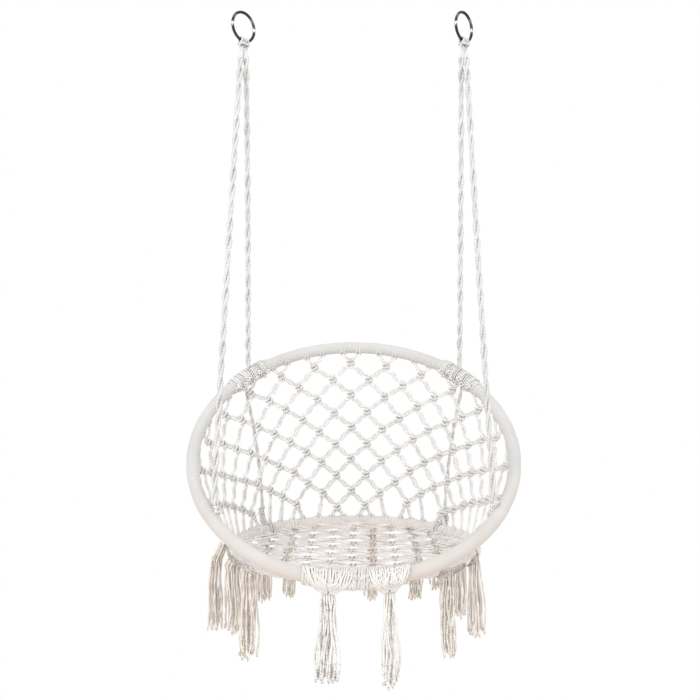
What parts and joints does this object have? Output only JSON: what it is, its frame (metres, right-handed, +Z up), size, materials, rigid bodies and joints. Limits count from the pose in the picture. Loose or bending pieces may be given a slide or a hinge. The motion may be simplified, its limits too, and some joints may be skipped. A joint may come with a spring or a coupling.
{
  "type": "hanging chair",
  "caption": "Knotted cotton hanging chair: a padded hoop leans back over a padded seat ring, joined by nets, hung on ropes from metal rings, with tassels below.",
  "frame": {"origin": "midway between the two hook points, each the inside of a hanging ring's top where a hook bears", "axes": "+Z up, +Y to the back of the chair, +X to the right as seen from the front"},
  "size_m": [0.8086, 0.6475, 1.5218],
  "materials": {
    "net_cotton": "matt twisted cotton cord",
    "rope_cotton": "matt twisted cotton rope",
    "cover_cloth": "smooth woven cloth",
    "tassel_cotton": "matt cotton strands",
    "foam": "soft foam",
    "frame_steel": "black coated steel tube",
    "chrome": "polished"
  },
  "bodies": {
    "hanging_rings": {"left_hanging_ring": "chrome", "left_hitch": "rope_cotton", "right_hanging_ring": "chrome", "right_hitch": "rope_cotton"},
    "chair": {"hoop_steel": "frame_steel", "hoop_foam": "foam", "hoop_cover": "cover_cloth", "seat_ring_steel": "frame_steel", "seat_ring_foam": "foam", "seat_ring_cover": "cover_cloth", "back_net": "net_cotton", "seat_net": "net_cotton", "front_binding": "net_cotton", "left_front_rope": "rope_cotton", "left_front_tie": "net_cotton", "left_front_lower_rope": "rope_cotton", "left_back_rope": "rope_cotton", "left_back_tie": "net_cotton", "left_back_lower_rope": "rope_cotton", "right_front_rope": "rope_cotton", "right_front_tie": "net_cotton", "right_front_lower_rope": "rope_cotton", "right_back_rope": "rope_cotton", "right_back_tie": "net_cotton", "right_back_lower_rope": "rope_cotton", "tassel_01": "tassel_cotton", "tassel_02": "tassel_cotton", "tassel_03": "tassel_cotton", "tassel_04": "tassel_cotton", "tassel_05": "tassel_cotton", "tassel_06": "tassel_cotton", "tassel_07": "tassel_cotton", "tassel_08": "tassel_cotton", "tassel_09": "tassel_cotton", "tassel_10": "tassel_cotton", "tassel_11": "tassel_cotton", "tassel_12": "tassel_cotton", "tassel_13": "tassel_cotton"}
  },
  "joints": [
    {"name": "fore_aft_swing", "type": "hinge", "parent": "hanging_rings", "child": "chair", "pos_m": [0, 0, -0.0968], "axis": [1, 0, 0], "range_deg": [-35, 35]}
  ]
}
